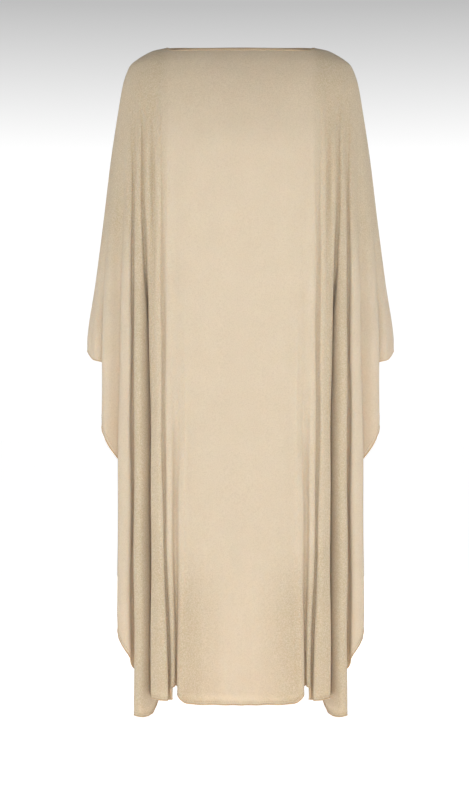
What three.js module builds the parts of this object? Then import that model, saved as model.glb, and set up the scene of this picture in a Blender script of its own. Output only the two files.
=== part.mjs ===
// A loose kaftan with a boat neck, worn and filled out with nobody in it.
// Millimetres, +Z up, the front faces -Y. The origin is in the middle of the neck, level
// with the shoulder seam where the seam meets the neckline.
//
// It is cut as two wide panels, front and back, joined along the shoulders and arms, and
// bound at the neck. Below the armholes a seam on each side draws front and back together
// inside a deep valley, so that a free wing of cloth hangs in cascading folds outside it.
//
// Every point of a panel has two coordinates. "fold" counts the crests and valleys from
// the middle (0) out to the edge of the arm (16); a whole number is the line of a crest
// or a valley. The other is the height z.

import * as THREE from 'three';

const CLOTH = 2;              // thickness of the wall
const SEAM_GAP = 0.3;         // gap between pieces that are sewn together
const NECK_HALF_WIDTH = 150;
const NECK_SLOPE_POWER = 8;   // how late the binding turns flat towards the shoulder seam
const WRIST_HEIGHT = -602;    // lower end of the shoulder and arm line
const ARMHOLE = -640;         // the side seams start here and run down to the hem
const SEAM_ONSET = 200;       // above the armhole, over which the valley deepens
const FOLD_ONSET = 240;       // length over which a fold grows to its full depth
const BELLY_SWING = 3;        // a fold this many times as deep as its belly is fully round
const BINDING_HEIGHT = 6;
const BINDING_THICKNESS = 2.6;
const BINDING_GAP = 0.45;
const BACK_HEM_LIFT = 5;      // the back panel hangs this much shorter
const BACK_FOLD_DEPTH = 0.93; // its folds are shallower than the front's

// Turns a list of column names and rows of numbers into rows with named values.
function table(columns, rows) {
  return rows.map((row) => Object.fromEntries(columns.map((name, i) => [name, row[i]])));
}

// The body's form without folds: half its width and how far it stands out in front and
// behind. "flat" is high where the plan is flat across, "nose" where it ends bluntly.
const LEVELS = table(['z', 'half', 'front', 'back', 'flat', 'nose'], [
  [14, 96, 36, 54, 3.2, 1.6],
  [0, NECK_HALF_WIDTH, 44, 62, 3.2, 1.6],
  [-6, 177, 50, 67, 3.4, 1.6],
  [-14, 193, 60, 74, 3.5, 1.6],
  [-22, 206, 67, 80, 3.5, 1.6],
  [-34, 220, 76, 88, 3.5, 1.6],
  [-46, 226, 83, 93, 3.4, 1.6],
  [-70, 234, 95, 100, 3.3, 1.6],
  [-130, 244.5, 115, 112, 3.0, 1.55],
  [-222, 258.5, 134, 119, 2.7, 1.5],
  [-342, 273, 140, 121, 2.5, 1.45],
  [-462, 288.5, 141, 124, 2.3, 1.4],
  [WRIST_HEIGHT, 306.5, 141, 127, 2.2, 1.4],
  [-950, 306.5, 143, 130, 2.2, 1.4],
  [-1340, 306.5, 147, 134, 2.2, 1.4],
]);

// Valleys and crests in turn, from the middle of the panel to the edge of the arm.
// x_chest, x_middle, x_ankle: distance from the middle plane at three heights.
// chest, hip, knee, ankle: how far the line stands out of the body's form (in, if negative).
// lean: the direction of that reach, in degrees from straight ahead towards the side.
// start: the height where the fold begins. round_in, round_out: how far the cloth bellies
// over on the side nearer the middle and on the side nearer the arm.
// steps: columns of the wall from this line to the next.
const CHEST = -250;
const HIP = -620;
const MIDDLE = -800;
const KNEE = -950;
const ANKLE = -1300;
const FOLDS = table([
  'fold', 'x_chest', 'x_middle', 'x_ankle', 'chest', 'hip', 'knee', 'ankle',
  'lean', 'start', 'round_in', 'round_out', 'steps',
], [
  [0, 0, 0, 0, 0, 0, 0, 0, 0, -300, 0, 0, 4],
  [1, 114, 110, 111, 0, 0, 3, 5, 12, -300, 0, 4, 4],
  [2, 129, 124.5, 126.5, 0, -1.5, -10, -24, 0, -200, 2, 1, 3],
  [3, 142, 139, 131.5, 0.5, 2, 2, -4, 10, -200, 2, 3, 3],
  [4, NECK_HALF_WIDTH, 150, 140, -1, -2.5, -7, -24, 8, -200, 2, 3, 3],
  [5, 159, 158, 152.5, 4, 8, 9, 9, 20, -45, 8, 7, 2],
  [6, 168, 168, 168, -6, 4, 6, 6, 22, -50, 1.5, 1, 2],
  [7, 180, 177, 178, 3, -5, -10, -10, 20, -60, 1, 1.5, 4],
  [8, 190, 185, 184.5, -4, -24, -60, -70, 20, -40, 2.5, 2.5, 4],
  [9, 199, 192.5, 191.5, 4, 11, 12, 11, 20, -20, 6, 9, 4],
  [10, 208, 209, 211, -4, -12, -18, -18, 27, -40, 5, 5, 4],
  [11, 219, 223, 224, 4, 11, 13, 11, 42, -80, 9, 10, 4],
  [12, 236, 241, 241, -4, -10, -15, -18, 46, -140, 7, 1.5, 4],
  [13, 256, 261, 262, 3, 9, 10, 10, 46, -225, 1, 9, 3],
  [14, 274, 273, 273, -2, -13, -14, -10, 55, -330, 7, 1.5, 2],
  [15, 291, 291, 291, 1, 2, 2, 2, 75, -490, 1, 3, 2],
  [16, 305.5, 305.5, 305.5, 0, 0, 0, 0, 90, WRIST_HEIGHT, 0, 0, 0],
]);
const LAST_FOLD = FOLDS.length - 1;
const NECK_FOLD = 4;  // the line that starts where the neckline meets the shoulder
const SEAM_FOLD = 8;  // the valley whose bottom is sewn to the other panel's

// The lower edge, from the middle round the corner of the wing and up to the wrist.
const HEM = table(['fold', 'z'], [
  [0, -1288],
  [0.7, -1287],
  [0.9, -1285],
  [1, -1282],
  [1.1, -1278],
  [1.25, -1272],
  [1.5, -1266],
  [1.7, -1258],
  [2, -1255],
  [2.6, -1255],
  [3, -1257],
  [3.25, -1262],
  [3.42, -1277],
  [3.6, -1282],
  [4, -1284],
  [5, -1281],
  [6, -1279],
  [7, -1275],
  [8, -1280],
  [8.52, -1290],
  [8.56, -1304],
  [8.64, -1312],
  [8.7, -1317],
  [8.8, -1317],
  [9, -1315],
  [9.4, -1311],
  [9.6, -1299],
  [9.8, -1266],
  [10, -1233],
  [10.25, -1224],
  [10.5, -1213],
  [10.75, -1199],
  [11, -1179],
  [11.3, -1140],
  [11.6, -1010],
  [11.8, -900],
  [12, -829],
  [12.25, -817],
  [12.5, -804],
  [12.75, -789],
  [13, -773],
  [13.2, -757],
  [13.35, -741],
  [13.7, -665],
  [14, -631],
  [14.5, -625],
  [15, -621],
  [15.6, -613],
  [LAST_FOLD, -604],
]);

// Shares of the way from the neck or shoulder line down to the hem, one for each row.
// Columns much shorter than LONG_COLUMN have their rows spaced evenly instead.
const ROWS = [
  0, 0.0015, 0.0045, 0.012, 0.026, 0.05, 0.085, 0.135,
  0.2, 0.26, 0.33, 0.43, 0.57, 0.71, 0.86, 1,
];
const LONG_COLUMN = 400;

const SIDES = {
  front: {
    sign: -1,
    depth: 'front',
    neckHeight: -14,
    neckPower: 20,
    neckSlope: 49,
    foldDepth: 1,
    hemLift: 0,
  },
  back: {
    sign: 1,
    depth: 'back',
    neckHeight: 7.5,
    neckPower: 2,
    neckSlope: 60,
    foldDepth: BACK_FOLD_DEPTH,
    hemLift: BACK_HEM_LIFT,
  },
};

function ease(t) {
  const s = Math.min(1, Math.max(0, t));
  return s * s * (3 - 2 * s);
}

function mix(a, b, t) {
  return a + (b - a) * t;
}

// Reads column "value" where column "along" is x, on a smooth curve through the rows
// that doesn't overshoot them.
function read(rows, value, along, x) {
  const rising = rows[0][along] < rows[rows.length - 1][along];
  const list = rising ? rows : [...rows].reverse();
  const last = list.length - 1;
  const at = Math.min(list[last][along], Math.max(list[0][along], x));
  let k = 0;
  while (k < last - 1 && list[k + 1][along] <= at) k += 1;
  const slope = (i) => (list[i + 1][value] - list[i][value]) / (list[i + 1][along] - list[i][along]);
  const tangent = (i) => {
    if (i === 0) return slope(0);
    if (i === last) return slope(last - 1);
    const before = slope(i - 1);
    const after = slope(i);
    return before * after <= 0 ? 0 : (2 * before * after) / (before + after);
  };
  const step = list[k + 1][along] - list[k][along];
  const t = (at - list[k][along]) / step;
  const s = 1 - t;
  return (1 + 2 * t) * s * s * list[k][value] + t * s * s * step * tangent(k)
    + t * t * (3 - 2 * t) * list[k + 1][value] - t * t * s * step * tangent(k + 1);
}

// A wave through one column of the fold table, level at each crest and valley.
function wave(column, fold) {
  const k = Math.min(LAST_FOLD - 1, Math.floor(fold));
  return mix(FOLDS[k][column], FOLDS[k + 1][column], (1 - Math.cos(Math.PI * (fold - k))) / 2);
}

// A value that changes between the four heights at which the reach is given.
function between(chest, hip, knee, ankle, z) {
  return mix(mix(mix(chest, hip, ease((z - CHEST) / (HIP - CHEST))),
    knee, ease((z - HIP) / (KNEE - HIP))), ankle, ease((z - KNEE) / (ANKLE - KNEE)));
}

// Height of the shoulder and arm line at distance x from the middle, found by halving.
function shoulderHeight(x) {
  const halvings = 40;
  let low = WRIST_HEIGHT;
  let high = 0;
  for (let i = 0; i < halvings; i += 1) {
    const z = (low + high) / 2;
    if (read(LEVELS, 'half', 'z', z) > x) low = z;
    else high = z;
  }
  return (low + high) / 2;
}

// How far the body's form stands out at x and z.
function bodyDepth(side, x, z) {
  const share = Math.min(1, x / read(LEVELS, 'half', 'z', z));
  const fill = 1 - share ** read(LEVELS, 'flat', 'z', z);
  return read(LEVELS, side.depth, 'z', z) * fill ** (1 / read(LEVELS, 'nose', 'z', z));
}

// The upper end of a fold line: on the neckline or on the shoulder and arm line.
function topEdge(side, fold) {
  const x = read(FOLDS, 'x_chest', 'fold', fold);
  if (fold >= NECK_FOLD) return { x, depth: 0, z: shoulderHeight(x) };
  const z = side.neckHeight * (1 - (x / NECK_HALF_WIDTH) ** side.neckPower);
  return { x, depth: bodyDepth(side, x, z), z };
}

// Height of the lower edge. The panels' edges are level at the side seam and at the wrist.
function hemHeight(side, fold) {
  const fromSeam = ease(Math.abs(fold - SEAM_FOLD) / 2);
  const lift = fold < LAST_FOLD - 1 ? side.hemLift * fromSeam : 0;
  return read(HEM, 'z', 'fold', fold) + lift;
}

// A point of the panel's middle surface, on its right half.
function clothPoint(side, fold, z) {
  const k = Math.min(LAST_FOLD - 1, Math.floor(fold));
  const part = fold - k;
  const upper = mix(read(FOLDS, 'x_chest', 'fold', fold), read(FOLDS, 'x_middle', 'fold', fold),
    ease((z - CHEST) / (MIDDLE - CHEST)));
  const lower = read(FOLDS, 'x_ankle', 'fold', fold) - read(FOLDS, 'x_middle', 'fold', fold);
  const across = upper + lower * ease((z - MIDDLE) / (ANKLE - MIDDLE));
  const lean = THREE.MathUtils.degToRad(read(FOLDS, 'lean', 'fold', fold));
  const body = bodyDepth(side, across, z);

  const growth = ease((read(FOLDS, 'start', 'fold', fold) - z) / FOLD_ONSET) * side.foldDepth;
  const heights = ['chest', 'hip', 'knee', 'ankle'];
  const reaches = heights.map((column) => wave(column, fold));
  let reach = between(...reaches, z) * growth;
  const nearSeam = Math.max(0, 1 - Math.abs(fold - SEAM_FOLD));
  const sewn = ((1 - Math.cos(Math.PI * nearSeam)) / 2) * ease((ARMHOLE + SEAM_ONSET - z) / SEAM_ONSET);
  const toMiddlePlane = -(body - (CLOTH + SEAM_GAP) / 2) / Math.cos(lean);
  reach = mix(reach, toMiddlePlane, sewn);

  const swing = heights.map((column) => Math.abs(FOLDS[k + 1][column] - FOLDS[k][column]));
  const round = part < 0.5 ? FOLDS[k].round_out : FOLDS[k + 1].round_in;
  const room = Math.min(1, (between(...swing, z) * growth) / (BELLY_SWING * Math.max(round, 1)));
  const belly = round * Math.sin(2 * Math.PI * part) * room;

  const out = body + reach * Math.cos(lean) - belly * Math.sin(lean);
  return new THREE.Vector3(
    across + reach * Math.sin(lean) + belly * Math.cos(lean),
    side.sign * Math.max(SEAM_GAP / 2, out),
    z,
  );
}

// The fold coordinates of the grid's columns, from the left arm to the right.
function columnFolds() {
  const right = FOLDS.flatMap((row, k) => Array.from({ length: row.steps }, (_, i) => k + i / row.steps));
  right.push(LAST_FOLD);
  const left = right.slice(1).reverse().map((fold) => -fold);
  return [...left, ...right];
}

function mirrored(point, fold) {
  return fold < 0 ? point.setX(-point.x) : point;
}

// Frames along the neckline: the panel's edge, the direction up along the binding, and the
// outward normal. The binding stands up from the panel in the middle and lies flat at the
// shoulder seam.
function neckFrames(side, folds) {
  const neck = folds.filter((fold) => Math.abs(fold) <= NECK_FOLD);
  const edge = (fold) => {
    const top = topEdge(side, Math.abs(fold));
    return new THREE.Vector3(Math.sign(fold) * top.x, side.sign * Math.max(SEAM_GAP / 2, top.depth), top.z);
  };
  const points = neck.map(edge);
  return neck.map((fold, i) => {
    const size = Math.abs(fold);
    const atEnd = size === NECK_FOLD;
    const before = points[Math.max(0, i - 1)];
    const after = points[Math.min(neck.length - 1, i + 1)];
    const along = atEnd ? new THREE.Vector3(0, 1, 0) : after.clone().sub(before).setZ(0).normalize();
    const outward = atEnd ? new THREE.Vector3(Math.sign(fold), 0, 0)
      : new THREE.Vector3(-along.y, along.x, 0).multiplyScalar(side.sign);
    const share = Math.abs(points[i].x) / NECK_HALF_WIDTH;
    const slope = THREE.MathUtils.degToRad(side.neckSlope) * (1 - share ** NECK_SLOPE_POWER);
    const up = outward.clone().multiplyScalar(-Math.cos(slope)).setZ(Math.sin(slope));
    const normal = outward.clone().multiplyScalar(Math.sin(slope)).setZ(Math.cos(slope));
    return { fold, point: points[i], up, normal };
  });
}

// A closed geometry from points and a list of triangles.
function closedGeometry(points, index) {
  const geometry = new THREE.BufferGeometry();
  const positions = points.flatMap((p) => [p.x, p.y, p.z]);
  geometry.setAttribute('position', new THREE.Float32BufferAttribute(positions, 3));
  geometry.setIndex(index);
  geometry.computeVertexNormals();
  return outsideOut(geometry);
}

// A wall between two like grids of points. Both grids, and the left and right halves as
// mirror images, are split into triangles the same way, so that the wall stays even.
function wallGeometry(outer, inner) {
  const columns = outer.length;
  const rows = outer[0].length;
  const index = [];
  const quad = (a, b, c, d) => index.push(a, b, c, a, c, d);
  const outerAt = (i, row) => i * rows + row;
  const innerAt = (i, row) => (columns + i) * rows + row;
  for (let i = 0; i < columns - 1; i += 1) {
    const onLeft = i < (columns - 1) / 2;
    for (let row = 0; row < rows - 1; row += 1) {
      [outerAt, innerAt].forEach((at) => {
        const corners = [at(i, row), at(i + 1, row), at(i + 1, row + 1), at(i, row + 1)];
        if (onLeft) corners.push(corners.shift());
        if (at === innerAt) corners.reverse();
        if (at === innerAt) corners.unshift(corners.pop());
        quad(...corners);
      });
    }
    quad(outerAt(i + 1, 0), outerAt(i, 0), innerAt(i, 0), innerAt(i + 1, 0));
    quad(outerAt(i, rows - 1), outerAt(i + 1, rows - 1), innerAt(i + 1, rows - 1), innerAt(i, rows - 1));
  }
  for (let row = 0; row < rows - 1; row += 1) {
    quad(outerAt(0, row), outerAt(0, row + 1), innerAt(0, row + 1), innerAt(0, row));
    const end = columns - 1;
    quad(outerAt(end, row + 1), outerAt(end, row), innerAt(end, row), innerAt(end, row + 1));
  }
  return closedGeometry([...outer.flat(), ...inner.flat()], index);
}

// A ring of like sections, joined each to the next and the last to the first.
function ringGeometry(sections) {
  const size = sections[0].length;
  const index = [];
  sections.forEach((_, i) => {
    const here = i * size;
    const next = ((i + 1) % sections.length) * size;
    for (let k = 0; k < size; k += 1) {
      const after = (k + 1) % size;
      index.push(here + k, next + k, next + after, here + k, next + after, here + after);
    }
  });
  return closedGeometry(sections.flat(), index);
}

// Turns the faces round if they point into the body.
function outsideOut(geometry) {
  const p = geometry.getAttribute('position');
  const index = geometry.getIndex();
  const corner = (i) => new THREE.Vector3().fromBufferAttribute(p, index.getX(i));
  let volume = 0;
  for (let i = 0; i < index.count; i += 3) {
    volume += corner(i).dot(corner(i + 1).cross(corner(i + 2))) / 6;
  }
  if (volume < 0) {
    for (let i = 0; i < index.count; i += 3) {
      const swap = index.getX(i + 1);
      index.setX(i + 1, index.getX(i + 2));
      index.setX(i + 2, swap);
    }
    geometry.computeVertexNormals();
  }
  return geometry;
}

// One panel: a grid of columns down its fold lines, thickened both ways.
function panelGeometry(side) {
  const folds = columnFolds();
  const grid = folds.map((fold) => {
    const size = Math.abs(fold);
    const top = topEdge(side, size).z;
    const bottom = hemHeight(side, size);
    const fineness = Math.min(1, (top - bottom) / LONG_COLUMN);
    return ROWS.map((share, row) => {
      const down = mix(row / (ROWS.length - 1), share, fineness);
      return mirrored(clothPoint(side, size, mix(top, bottom, down)), fold);
    });
  });
  const frames = new Map(neckFrames(side, folds).map((frame) => [frame.fold, frame]));
  const normalAt = (i, row) => {
    const across = grid[Math.min(grid.length - 1, i + 1)][row].clone().sub(grid[Math.max(0, i - 1)][row]);
    const down = grid[i][Math.min(ROWS.length - 1, row + 1)].clone().sub(grid[i][Math.max(0, row - 1)]);
    const normal = across.cross(down).multiplyScalar(side.sign).normalize();
    if (row > 0) return normal;
    if (frames.has(folds[i])) return frames.get(folds[i]).normal.clone();
    return normal.setY(0).normalize();
  };
  const moved = (share) => grid.map((column, i) => column.map((point, row) => {
    const shifted = point.clone().addScaledVector(normalAt(i, row), share * CLOTH);
    return shifted.setY(side.sign * Math.max(SEAM_GAP / 2, side.sign * shifted.y));
  }));
  return wallGeometry(moved(0.5), moved(-0.5));
}

// The neck binding: a flat band all round, standing on the panels' edges.
function bindingGeometry() {
  const folds = columnFolds();
  const front = neckFrames(SIDES.front, folds);
  const back = neckFrames(SIDES.back, folds).slice(1, -1).reverse();
  front[0].point.setY(0);
  front[front.length - 1].point.setY(0);
  const half = BINDING_THICKNESS / 2;
  const top = BINDING_GAP + BINDING_HEIGHT;
  const section = [
    { up: BINDING_GAP, out: half },
    { up: top - half, out: half },
    { up: top, out: 0 },
    { up: top - half, out: -half },
    { up: BINDING_GAP, out: -half },
  ];
  const rings = [...front, ...back].map(({ point, up, normal }) => section.map((corner) => (
    point.clone().addScaledVector(up, corner.up).addScaledVector(normal, corner.out)
  )));
  return ringGeometry(rings);
}

function piece(name, geometry, material) {
  const mesh = new THREE.Mesh(geometry, material);
  mesh.name = name;
  return mesh;
}

const jersey = new THREE.MeshStandardMaterial({ color: '#dccbae', roughness: 0.9, metalness: 0 });
const jerseyBinding = new THREE.MeshStandardMaterial({ color: '#c9b090', roughness: 0.9, metalness: 0 });

const kaftan = new THREE.Group();
kaftan.add(
  piece('front_panel', panelGeometry(SIDES.front), jersey),
  piece('back_panel', panelGeometry(SIDES.back), jersey),
  piece('neck_binding', bindingGeometry(), jerseyBinding),
);

export default kaftan;
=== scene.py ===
# %% [markdown]
# # A kaftan of soft jersey, worn by nobody
#
# The kaftan is two wide panels of knitted cloth, sewn together along the shoulders and arms.
# It keeps the form that a wearer gives it. Cloth like this could be draped by a simulation,
# but its folds have to fall in known places. So each panel is worked out from short tables
# of folds, the same ones that shaped its solid, and gets its thin edges, seams and knit here.

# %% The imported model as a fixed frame
import math

import bpy
import numpy as np
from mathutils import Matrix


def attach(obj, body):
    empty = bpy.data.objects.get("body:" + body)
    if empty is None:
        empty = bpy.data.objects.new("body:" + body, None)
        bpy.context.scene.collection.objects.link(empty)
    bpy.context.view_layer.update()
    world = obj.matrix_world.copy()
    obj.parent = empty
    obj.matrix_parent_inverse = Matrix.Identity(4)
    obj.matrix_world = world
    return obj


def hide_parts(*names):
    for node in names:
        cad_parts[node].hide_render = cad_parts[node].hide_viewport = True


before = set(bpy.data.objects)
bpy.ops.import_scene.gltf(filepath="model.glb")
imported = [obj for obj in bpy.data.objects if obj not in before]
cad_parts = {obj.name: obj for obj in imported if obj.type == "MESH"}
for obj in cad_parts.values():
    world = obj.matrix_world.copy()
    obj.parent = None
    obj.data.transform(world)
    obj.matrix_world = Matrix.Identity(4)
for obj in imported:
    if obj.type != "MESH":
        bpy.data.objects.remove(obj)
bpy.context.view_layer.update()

MM = 0.001

# %% [markdown]
# ## The camera
#
# A long lens far away keeps the hanging folds upright and parallel. The camera looks level
# at the middle of the kaftan, so its place is set from three sizes: how far it stands, how
# high it looks, and how much height fits in the picture at the kaftan's middle plane.

# %% Camera
VIEW_DISTANCE = 3.8
VIEW_HEIGHT = -0.695
VIEW_SPAN = 1.586
VIEW_ASIDE = -0.012
SENSOR = 36
FARTHEST = 200

camera = bpy.data.objects.new("camera", bpy.data.cameras.new("camera"))
bpy.context.scene.collection.objects.link(camera)
camera.data.sensor_width = SENSOR
camera.data.lens = SENSOR * VIEW_DISTANCE / VIEW_SPAN
camera.location = (VIEW_ASIDE, -VIEW_DISTANCE, VIEW_HEIGHT)
camera.rotation_euler = (math.pi / 2, 0, 0)
camera.data.clip_end = FARTHEST
bpy.context.scene.camera = camera
print(f"lens {camera.data.lens:.1f} mm")

# %% [markdown]
# ## Numbers with names
#
# A fold is a row in a table, and each column has a name. Between the rows a value follows a
# smooth curve that never overshoots them, so a fold stays as deep as its table says. Numpy
# reads a whole grid of places at once, which is quick enough for a fine mesh.

# %% Tables and curves
def table(columns, rows):
    """Rows of numbers as one array for each named column."""
    return {name: np.array([row[i] for row in rows], float) for i, name in enumerate(columns)}


def ease(t):
    """From 0 to 1, with a soft start and a soft end."""
    t = np.clip(t, 0, 1)
    return t * t * (3 - 2 * t)


def mix(a, b, t):
    return a + (b - a) * t


def read(rows, value, along, x):
    """Column value at the places where column along is x."""
    xs, ys = rows[along], rows[value]
    if xs[0] > xs[-1]:
        xs, ys = xs[::-1], ys[::-1]
    step = np.diff(xs)
    slope = np.diff(ys) / step
    before, after = slope[:-1], slope[1:]
    level = before * after <= 0
    total = np.where(level, 1, before + after)
    inner = np.where(level, 0, 2 * before * after / total)
    tangent = np.concatenate([slope[:1], inner, slope[-1:]])
    x = np.clip(x, xs[0], xs[-1])
    k = np.clip(np.searchsorted(xs, x, side="right") - 1, 0, len(step) - 1)
    t = (x - xs[k]) / step[k]
    s = 1 - t
    return ((1 + 2 * t) * s * s * ys[k] + t * s * s * step[k] * tangent[k]
            + t * t * (3 - 2 * t) * ys[k + 1] - t * t * s * step[k] * tangent[k + 1])


print("a quarter of the way, ease gives", float(ease(0.25)))

# %% [markdown]
# ## The form under the folds
#
# Seen from above, the body is a rounded box that grows from the boat neck to the full width
# of the hanging arms. These are its half width and how far it stands out, in millimetres.
# The neckline lies on the same form, a little lower in front than behind.

# %% Sizes and levels
SEAM_GAP = 0.3
CAD_CLOTH = 2
NECK_HALF_WIDTH = 150
WRIST_HEIGHT = -602
ARMHOLE = -640
SEAM_ONSET = 200
FOLD_ONSET = 240
BELLY_SWING = 3

LEVELS = table(["z", "half", "front", "back", "flat", "nose"], [
    [14, 96, 36, 54, 3.2, 1.6],
    [0, NECK_HALF_WIDTH, 44, 62, 3.2, 1.6],
    [-6, 177, 50, 67, 3.4, 1.6],
    [-14, 193, 60, 74, 3.5, 1.6],
    [-22, 206, 67, 80, 3.5, 1.6],
    [-34, 220, 76, 88, 3.5, 1.6],
    [-46, 226, 83, 93, 3.4, 1.6],
    [-70, 234, 95, 100, 3.3, 1.6],
    [-130, 244.5, 115, 112, 3.0, 1.55],
    [-222, 258.5, 134, 119, 2.7, 1.5],
    [-342, 273, 140, 121, 2.5, 1.45],
    [-462, 288.5, 141, 124, 2.3, 1.4],
    [WRIST_HEIGHT, 306.5, 141, 127, 2.2, 1.4],
    [-950, 306.5, 143, 130, 2.2, 1.4],
    [-1340, 306.5, 147, 134, 2.2, 1.4],
])
SIDES = {
    "front": {"sign": -1, "neck_height": -14, "neck_power": 20, "neck_slope": 49,
              "fold_depth": 1, "hem_lift": 0},
    "back": {"sign": 1, "neck_height": 7.5, "neck_power": 2, "neck_slope": 60,
             "fold_depth": 0.93, "hem_lift": 5},
}
print("the neck is", 2 * NECK_HALF_WIDTH, "mm wide")

# %% [markdown]
# ## The folds and the lower edge
#
# Cloth that hangs from a point falls in tubes. Fold 0 is the middle of the panel and fold 16
# the edge of the arm, with crests and valleys in turn between them. Fold 8 is the deep
# valley whose bottom is sewn to the other panel, and all that hangs outside it is the free
# wing. The lower edge climbs round the wing's corner to the wrist, which makes the cascade.

# %% Folds
CHEST, HIP, MIDDLE, KNEE, ANKLE = -250, -620, -800, -950, -1300
HEIGHTS = ["chest", "hip", "knee", "ankle"]
FOLDS = table(["fold", "x_chest", "x_middle", "x_ankle", "chest", "hip", "knee", "ankle",
               "lean", "start", "round_in", "round_out"], [
    [0, 0, 0, 0, 0, 0, 0, 0, 0, -300, 0, 0],
    [1, 114, 110, 111, 0, 0, 3, 5, 12, -300, 0, 4],
    [2, 129, 124.5, 126.5, 0, -1.5, -10, -24, 0, -200, 2, 1],
    [3, 142, 139, 131.5, 0.5, 2, 2, -4, 10, -200, 2, 3],
    [4, NECK_HALF_WIDTH, 150, 140, -1, -2.5, -7, -24, 8, -200, 2, 3],
    [5, 159, 158, 152.5, 4, 8, 9, 9, 20, -45, 8, 7],
    [6, 168, 168, 168, -6, 4, 6, 6, 22, -50, 1.5, 1],
    [7, 180, 177, 178, 3, -5, -10, -10, 20, -60, 1, 1.5],
    [8, 190, 185, 184.5, -4, -24, -60, -70, 20, -40, 2.5, 2.5],
    [9, 199, 192.5, 191.5, 4, 11, 12, 11, 20, -20, 6, 9],
    [10, 208, 209, 211, -4, -12, -18, -18, 27, -40, 5, 5],
    [11, 219, 223, 224, 4, 11, 13, 11, 42, -80, 9, 10],
    [12, 236, 241, 241, -4, -10, -15, -18, 46, -140, 7, 1.5],
    [13, 256, 261, 262, 3, 9, 10, 10, 46, -225, 1, 9],
    [14, 274, 273, 273, -2, -13, -14, -10, 55, -330, 7, 1.5],
    [15, 291, 291, 291, 1, 2, 2, 2, 75, -490, 1, 3],
    [16, 305.5, 305.5, 305.5, 0, 0, 0, 0, 90, WRIST_HEIGHT, 0, 0],
])
LAST_FOLD = len(FOLDS["fold"]) - 1
NECK_FOLD = 4
SEAM_FOLD = 8
HEM = table(["fold", "z"], [
    [0, -1288], [0.7, -1287], [0.9, -1285], [1, -1282], [1.1, -1278], [1.25, -1272],
    [1.5, -1266], [1.7, -1258], [2, -1255], [2.6, -1255], [3, -1257], [3.25, -1262],
    [3.42, -1277], [3.6, -1282], [4, -1284], [5, -1281], [6, -1279], [7, -1275], [8, -1280],
    [8.52, -1290], [8.56, -1304], [8.64, -1312], [8.7, -1317], [8.8, -1317], [9, -1315],
    [9.4, -1311], [9.6, -1299], [9.8, -1266], [10, -1233], [10.25, -1224], [10.5, -1213],
    [10.75, -1199], [11, -1179], [11.3, -1140], [11.6, -1010], [11.8, -900], [12, -829],
    [12.25, -817], [12.5, -804], [12.75, -789], [13, -773], [13.2, -757], [13.35, -741],
    [13.7, -665], [14, -631], [14.5, -625], [15, -621], [15.6, -613], [LAST_FOLD, -604],
])
print(LAST_FOLD, "folds from the middle to the arm, lowest point", HEM["z"].min(), "mm")

# %% [markdown]
# ## Small creases
#
# Soft jersey is never quite even. Each row here is one soft ridge, or a trough if its height
# is negative: where it runs, how far it drifts sideways on its way down, and how wide it is.
# They differ from front to back, because no two sides of a garment fall alike. A crease fades
# at both ends, but one that reaches the hem runs out over it. The hem also flutters a little.

# %% Creases
CREASE_COLUMNS = ["fold", "top", "bottom", "height", "width", "drift"]
CREASES = {
    "front": table(CREASE_COLUMNS, [
        [0.16, -900, -1290, 1.6, 0.07, 0.05],
        [0.33, -860, -1290, -2.0, 0.08, 0.04],
        [0.52, -760, -1290, 1.8, 0.08, 0.06],
        [0.80, -560, -1290, -2.6, 0.10, 0.05],
        [0.93, -470, -1100, 1.5, 0.07, 0.02],
        [0.66, -90, -520, 0.8, 0.10, 0.06],
        [2.95, -140, -520, 1.0, 0.30, 0.10],
        [5.15, -500, -1200, -1.0, 0.16, 0.25],
        [9.35, -350, -900, -0.9, 0.16, 0.20],
        [9.30, -860, -1300, 1.1, 0.15, -0.15],
        [11.2, -330, -1040, -1.1, 0.15, 0.25],
        [13.2, -420, -740, -0.9, 0.16, 0.15],
        [15.2, -500, -615, -0.8, 0.20, 0.10],
    ]),
    "back": table(CREASE_COLUMNS, [
        [0.12, -700, -1290, -2.2, 0.10, 0.04],
        [0.36, -620, -1290, 2.4, 0.09, 0.06],
        [0.60, -540, -1290, -2.6, 0.09, 0.05],
        [0.84, -460, -1290, 2.0, 0.08, 0.04],
        [0.50, -60, -430, 1.6, 0.12, 0.10],
        [2.80, -160, -560, 1.2, 0.30, 0.15],
        [5.10, -440, -1150, -1.0, 0.18, 0.30],
        [9.40, -420, -1180, -1.0, 0.16, 0.25],
        [11.1, -360, -1000, 1.1, 0.15, -0.20],
        [13.1, -460, -740, -0.9, 0.16, 0.20],
    ]),
}
CREASE_FADE_IN, CREASE_FADE_OUT = 0.4, 0.3
REACHES_HEM = -1250
FLUTTER = {"height": 1.5, "reach": 75, "waves": 3.6, "end": 1.15, "fade": 0.3}
FLUTTER_PHASE = {"front": 0, "back": 0.9}
SWAY = {"width": 0.8, "length": 310}


def small_creases(side, fold, z):
    """How far the creases and the hem's flutter stand out of the panel."""
    out = np.zeros(np.broadcast(fold, z).shape)
    rows = CREASES[side]
    for row in zip(*(rows[name] for name in CREASE_COLUMNS)):
        line, top, bottom, height, width, drift = row
        down = np.clip((top - z) / (top - bottom), 0, 1)
        ends = ease(down / CREASE_FADE_IN)
        ends = ends * ease((1 - down) / CREASE_FADE_OUT + (bottom < REACHES_HEM))
        out += height * ends * np.exp(-(((fold - line - drift * down) / width) ** 2))
    low = ease((z - read(HEM, "z", "fold", fold) - FLUTTER["reach"]) / -FLUTTER["reach"])
    wave = np.cos(2 * math.pi * FLUTTER["waves"] * fold + FLUTTER_PHASE[side])
    beside = ease((FLUTTER["end"] - fold) / FLUTTER["fade"])
    return out + FLUTTER["height"] * wave * low * beside


for side, rows in CREASES.items():
    print(len(rows["fold"]), "creases on each half of the", side)

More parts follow.
